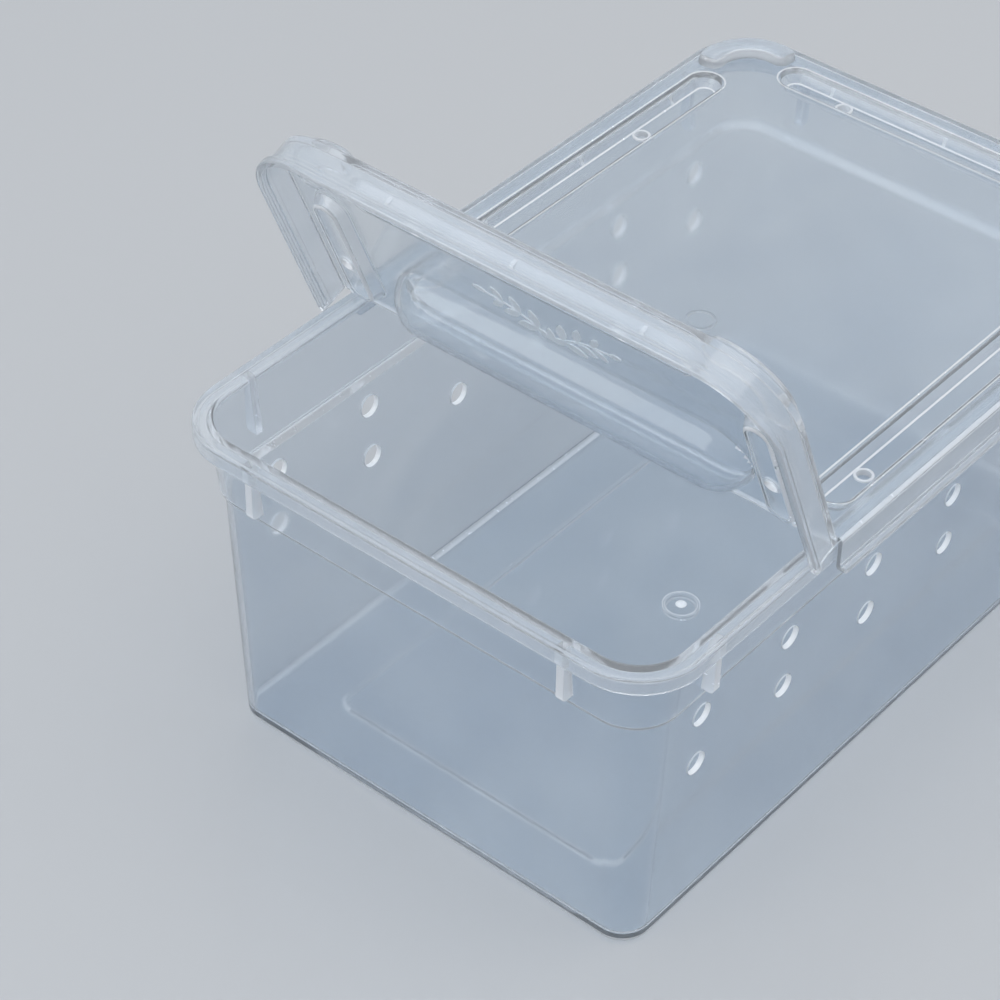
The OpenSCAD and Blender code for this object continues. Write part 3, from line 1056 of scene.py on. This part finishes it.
def foldOutline(v):
    # section of the moulded hinge: a bead above, a crease below, thin edges on either side
    hinge = Vector((keeper["hingeX"], keeper["hingeZ"]))
    angle = math.radians(keeper["flapAngle"])
    half = v["thickness"] / 2
    lidEdge = lidTop - v["lidDrop"]
    lidFar, lidNear = (hinge.x + reach for reach in v["lidReach"])
    flapFar, flapNear = v["flapReach"]

    def onFlap(x, z):
        return hinge + Vector((-x * math.cos(angle) + z * math.sin(angle),
                               x * math.sin(angle) + z * math.cos(angle)))

    return [
        Vector((lidFar, lidEdge + half)),
        Vector((lidNear, lidEdge + half + v["lidRise"])),
        hinge + Vector((v["beadHalf"][0], v["bead"])),
        hinge + Vector((-v["beadHalf"][1], v["bead"])),
        onFlap(flapNear, half - v["flapDrop"]),
        onFlap(flapFar, half - v["flapDrop"]),
        onFlap(flapFar, -half - v["flapDrop"]),
        onFlap(flapNear, -half - v["flapDrop"]),
        hinge + Vector(v["creaseFlap"]),
        hinge + Vector(v["creaseLid"]),
        Vector((lidNear, lidEdge - half)),
        Vector((lidFar, lidEdge - half)),
    ]


def buildFold(v):
    bm = bmesh.new()
    width = halfWidth - v["endGap"]
    row = profileEdges(bm, [(p.x, -width, p.y) for p in foldOutline(v)], True)
    for _ in range(v["lengthSteps"]):
        row = drawRun(bm, row, (0, 2 * width / v["lengthSteps"], 0))
    fillOpen(bm)
    joinDoubles(bm, finishValues["meshGap"])
    inner = [vert for vert in bm.verts if abs(vert.co.y) < width - 0.01]
    bmesh.ops.smooth_vert(bm, verts=inner, factor=v["smoothing"], use_axis_x=True, use_axis_y=False,
                          use_axis_z=True)
    fold = closedObject("foldLine", bm)
    toMetres(fold, v["sharpTurn"])
    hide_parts("fold_web")
    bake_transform(fold)
    return fold


def feed(tree, node, inputs):
    # give each input a constant or the output of another node
    for socket, value in inputs.items():
        if isinstance(value, bpy.types.NodeSocket):
            tree.links.new(value, node.inputs[socket])
        else:
            node.inputs[socket].default_value = value
    return node


def addNode(tree, kind, inputs=None, **settings):
    node = tree.nodes.new(kind)
    for name, value in settings.items():
        setattr(node, name, value)
    return feed(tree, node, inputs or {})


def mixShaders(tree, factor, first, second, output):
    mix = addNode(tree, "ShaderNodeMixShader",
                  {0: factor, 1: first.outputs[0], 2: second.outputs[0]})
    feed(tree, tree.nodes[output], {"Surface": mix.outputs[0]})


# inputs of the shared surface group, numbers before colours, with their names in plasticLooks
surfaceSockets = {"Flow Scale": "flowScale", "Scratch Scale": "scratchScale", "Smooth": "smooth",
                  "Rough": "rough", "Clear": "clear", "Milky": "milky"}
surfaceValues = {
    "flowDetail": 3.0,
    "flowDistortion": 0.8,
    "scratchStretch": (1.0, 0.12, 1.0),
    "scratchTurn": (0.3, 0.5, 0.8),
    "scratchDetail": 2.0,
    "scratchRange": (0.62, 0.72),
    "hazeRange": (0.35, 0.7),
    "scratchRoughness": 0.6,
    "hazeRoughness": 0.4,
    "scratchHeight": 0.12,
}


def mouldedSurface(v):
    # flow marks, haze and fine handling scratches of moulded polypropylene
    group = bpy.data.node_groups.new("mouldedSurface", "ShaderNodeTree")
    for way, kind, labels in (("INPUT", "NodeSocketFloat", tuple(surfaceSockets)[:4]),
                              ("INPUT", "NodeSocketColor", tuple(surfaceSockets)[4:]),
                              ("OUTPUT", "NodeSocketFloat", ("Roughness", "Height")),
                              ("OUTPUT", "NodeSocketColor", ("Colour",))):
        for label in labels:
            group.interface.new_socket(name=label, in_out=way, socket_type=kind)

    def made(kind, inputs, output=0, **settings):
        return addNode(group, "ShaderNode" + kind, inputs, **settings).outputs[output]

    source = addNode(group, "NodeGroupInput").outputs
    place = made("TexCoord", {}, "Object")
    flow = made("TexNoise", {"Vector": place, "Scale": source["Flow Scale"],
                             "Detail": v["flowDetail"], "Distortion": v["flowDistortion"]})
    haze = made("MapRange", {"Value": flow, "From Min": v["hazeRange"][0],
                             "From Max": v["hazeRange"][1]})
    along = made("Mapping", {"Vector": place, "Scale": v["scratchStretch"],
                             "Rotation": v["scratchTurn"]})
    streaks = made("TexNoise", {"Vector": along, "Scale": source["Scratch Scale"],
                                "Detail": v["scratchDetail"]})
    scratch = made("MapRange", {"Value": streaks, "From Min": v["scratchRange"][0],
                                "From Max": v["scratchRange"][1]})
    # a mix node keeps its colours in inputs 6 and 7 and output 2, its numbers in 2, 3 and 0
    colour = made("Mix", {0: haze, 6: source["Clear"], 7: source["Milky"]}, 2, data_type="RGBA")
    dulled = made("Math", {0: haze, 1: v["hazeRoughness"]}, operation="MULTIPLY")
    worn = made("Math", {0: scratch, 1: v["scratchRoughness"], 2: dulled}, operation="MULTIPLY_ADD")
    roughness = made("Mix", {0: worn, 2: source["Smooth"], 3: source["Rough"]})
    height = made("Math", {0: scratch, 1: v["scratchHeight"], 2: flow}, operation="MULTIPLY_ADD")
    addNode(group, "NodeGroupOutput", {"Colour": colour, "Roughness": roughness, "Height": height})
    return group


wideGrain = {"flowScale": 60.0, "scratchScale": 900.0}
fineGrain = {"flowScale": 300.0, "scratchScale": 2500.0, "bump": 0.3}
# through is the share of light that passes; clear and milky are the two ends of the haze,
# smooth and rough those of the roughness
plasticLooks = {
    "clearTubPlastic": {
        "through": 0.94, "clear": (0.86, 0.9, 0.94, 1), "milky": (0.78, 0.83, 0.885, 1),
        "smooth": 0.06, "rough": 0.12, "flowScale": 22.0, "scratchScale": 700.0,
        "bump": 0.02, "shadow": (0.89, 0.915, 0.94, 1)},
    "clearLidPlastic": {
        "through": 0.92, "clear": (0.87, 0.91, 0.945, 1), "milky": (0.8, 0.85, 0.9, 1),
        "smooth": 0.07, "rough": 0.12, "flowScale": 26.0, "scratchScale": 800.0,
        "bump": 0.015, "shadow": (0.89, 0.915, 0.94, 1)},
    # milky material: haze of the plastic; on the pocket walls it also serves as a painted highlight
    "milkyRimPlastic": {
        "through": 0.8, "clear": (0.9, 0.93, 0.965, 1), "milky": (0.85, 0.89, 0.93, 1),
        "smooth": 0.09, "rough": 0.24, "bump": 0.08, "shadow": (0.88, 0.905, 0.93, 1), **wideGrain},
    # rough vent material: a rough surface, whose near-white, nearly opaque colour is a painted highlight
    "roughVentHighlightPlastic": {
        "through": 0.08, "clear": (0.97, 0.985, 1.0, 1), "milky": (0.93, 0.96, 1.0, 1),
        "smooth": 0.4, "rough": 0.6, "shadow": (0.9, 0.92, 0.94, 1), **fineGrain},
    # white edge material: the haze of thick plastic together with a painted highlight along edges
    "hazeAndHighlightEdgePlastic": {
        "through": 0.42, "clear": (0.97, 0.98, 1.0, 1), "milky": (0.93, 0.96, 1.0, 1),
        "smooth": 0.16, "rough": 0.34, "bump": 0.1, "shadow": (0.9, 0.92, 0.94, 1), **wideGrain},
    "frostedReliefPlastic": {
        "through": 0.12, "clear": (0.96, 0.98, 1.0, 1), "milky": (0.9, 0.94, 0.98, 1),
        "smooth": 0.45, "rough": 0.7, "shadow": (0.85, 0.88, 0.9, 1), **fineGrain},
    "stressedFoldPlastic": {
        "through": 0.5, "clear": (0.95, 0.97, 1.0, 1), "milky": (0.9, 0.94, 0.98, 1),
        "smooth": 0.2, "rough": 0.4, "bump": 0.1, "shadow": (0.85, 0.88, 0.9, 1), **wideGrain},
}
refraction = 1.49
bumpDistance = 0.0003


def clearPlastic(name, look, surfaceGroup):
    material = bpy.data.materials.new(name)
    material.use_nodes = True
    tree = material.node_tree
    surface = addNode(tree, "ShaderNodeGroup", node_tree=surfaceGroup)
    feed(tree, surface, {socket: look[key] for socket, key in surfaceSockets.items()})
    bump = addNode(tree, "ShaderNodeBump", {
        "Strength": look["bump"], "Distance": bumpDistance, "Height": surface.outputs["Height"]})
    shader = feed(tree, tree.nodes["Principled BSDF"], {
        "IOR": refraction, "Transmission Weight": look["through"],
        "Base Color": surface.outputs["Colour"], "Roughness": surface.outputs["Roughness"],
        "Normal": bump.outputs["Normal"]})
    # lamps reach the table through the plastic
    passing = addNode(tree, "ShaderNodeBsdfTransparent", {"Color": look["shadow"]})
    path = addNode(tree, "ShaderNodeLightPath")
    mixShaders(tree, path.outputs["Is Shadow Ray"], shader, passing, "Material Output")
    return material


def wear(piece, *materials):
    numbers = [face.material_index for face in piece.data.polygons]
    piece.data.materials.clear()
    for material in materials:
        piece.data.materials.append(material)
    piece.data.polygons.foreach_set("material_index", numbers)


stageValues = {
    "floorSize": 6.0,
    "floorDrop": 0.00015,
    "floorColour": (0.55, 0.57, 0.595, 1),
    "floorRoughness": 0.2,
    "backColour": (0.55, 0.57, 0.595, 1),
    "lightColour": (0.95, 0.97, 1.0, 1),
    "worldStrength": 0.6,
    "lightBounces": 32,
}


def paleTable(v):
    bm = bmesh.new()
    bmesh.ops.create_grid(bm, x_segments=2, y_segments=2, size=v["floorSize"] / 2,
                          matrix=Matrix.Translation((0, 0, -v["floorDrop"])))
    floor = asObject("stageFloor", bm)
    material = bpy.data.materials.new("paleTable")
    material.use_nodes = True
    floor.data.materials.append(material)
    tree = material.node_tree
    shader = feed(tree, tree.nodes["Principled BSDF"],
                  {"Base Color": v["floorColour"], "Roughness": v["floorRoughness"]})
    # the table is see-through from below, so the underside of the box shows
    side = addNode(tree, "ShaderNodeNewGeometry")
    clear = addNode(tree, "ShaderNodeBsdfTransparent")
    mixShaders(tree, side.outputs["Backfacing"], shader, clear, "Material Output")


def paleRoom(v):
    # soft light from all round; camera, transmitted and mirrored rays see a plain pale wall
    world = bpy.data.worlds.new("paleRoom")
    scene.world = world
    world.use_nodes = True
    tree = world.node_tree
    lighting = feed(tree, tree.nodes["Background"],
                    {"Color": v["lightColour"], "Strength": v["worldStrength"]})
    wall = addNode(tree, "ShaderNodeBackground", {"Color": v["backColour"]})
    rays = addNode(tree, "ShaderNodeLightPath").outputs
    straight = addNode(tree, "ShaderNodeMath", {
        0: rays["Is Camera Ray"], 1: rays["Is Transmission Ray"]}, operation="MAXIMUM")
    seen = addNode(tree, "ShaderNodeMath", {
        0: straight.outputs[0], 1: rays["Is Glossy Ray"]}, operation="MAXIMUM")
    mixShaders(tree, seen.outputs[0], lighting, wall, "World Output")


lampTarget = Vector((0, 0, 0.04))
lamps = {
    "overheadSoftbox": {"place": (0.1, -0.2, 1.3), "size": (1.4, 1.2), "power": 6.9, "tint": (1, 1, 1)},
    "leftSoftbox": {"place": (-1.0, 0.35, 0.7), "size": (0.8, 0.8), "power": 3.2, "tint": (0.96, 0.98, 1)},
    "rightSoftbox": {"place": (0.7, -0.9, 0.6), "size": (0.8, 0.8), "power": 1.2, "tint": (1, 0.99, 0.97)},
}


def softLamp(name, v):
    lamp = bpy.data.lights.new(name, "AREA")
    lamp.shape = "RECTANGLE"
    lamp.size, lamp.size_y = v["size"]
    lamp.energy = v["power"]
    lamp.color = v["tint"]
    holder = bpy.data.objects.new(name, lamp)
    scene.collection.objects.link(holder)
    holder.location = v["place"]
    aim = lampTarget - Vector(v["place"])
    holder.rotation_euler = aim.to_track_quat("-Z", "Y").to_euler()


cameraValues = {
    "place": (-0.41694, -0.29103, 0.46211),
    "yaw": -50.60,
    "pitch": 40.38,
    "roll": 0.99,
    "sensor": 36,
    "focalShare": 3.1458,
    "clipStart": 0.01,
}


def photoCamera(v):
    # the photograph's view; focalShare is the focal length over the picture's width
    yaw, pitch, roll = (math.radians(v[key]) for key in ("yaw", "pitch", "roll"))
    right = Vector((math.cos(yaw), math.sin(yaw), 0))
    flat = Vector((-math.sin(yaw), math.cos(yaw), 0))
    forward = flat * math.cos(pitch) - Vector((0, 0, math.sin(pitch)))
    up = right.cross(forward)
    right, up = (right * math.cos(roll) + up * math.sin(roll),
                 up * math.cos(roll) - right * math.sin(roll))
    lens = bpy.data.cameras.new("photoView")
    lens.sensor_width = v["sensor"]
    lens.lens = v["sensor"] * v["focalShare"]
    lens.clip_start = v["clipStart"]
    lens.dof.use_dof = False
    view = bpy.data.objects.new("photoView", lens)
    scene.collection.objects.link(view)
    turned = Matrix((right, up, -forward)).transposed().to_4x4()
    view.matrix_world = Matrix.Translation(v["place"]) @ turned
    scene.camera = view


scene.view_settings.view_transform = "Standard"
# light runs far inside the clear walls
scene.cycles.max_bounces = stageValues["lightBounces"]
scene.cycles.transmission_bounces = stageValues["lightBounces"]
scene.cycles.transparent_max_bounces = stageValues["lightBounces"]
photoCamera(cameraValues)
paleTable(stageValues)
paleRoom(stageValues)
for lampName, lampValues in lamps.items():
    softLamp(lampName, lampValues)
print("stage, camera and lamps set")

tub = buildTub(tubValues)
print("tub modelled")
lid = buildLid(lidValues)
print("lid modelled")
flap = buildFlap(lidValues)
print("flap modelled")
sprig = buildSprig(sprigValues)
print("sprig modelled")
fold = buildFold(foldValues)
print("fold modelled")

moulded = mouldedSurface(surfaceValues)
plastics = {name: clearPlastic(name, look, moulded) for name, look in plasticLooks.items()}
# the edge material paints a highlight along edges over the haze of thick plastic
edgeHighlightAndHaze, milkyPlastic = plastics["hazeAndHighlightEdgePlastic"], plastics["milkyRimPlastic"]
# in the order of the face numbers: plain, white, milky, rough
wear(tub, plastics["clearTubPlastic"], edgeHighlightAndHaze, milkyPlastic, plastics["roughVentHighlightPlastic"])
wear(lid, plastics["clearLidPlastic"], edgeHighlightAndHaze, milkyPlastic)
wear(flap, plastics["clearLidPlastic"], edgeHighlightAndHaze, milkyPlastic)
wear(sprig, plastics["frostedReliefPlastic"])
wear(fold, plastics["stressedFoldPlastic"])
print("materials set")
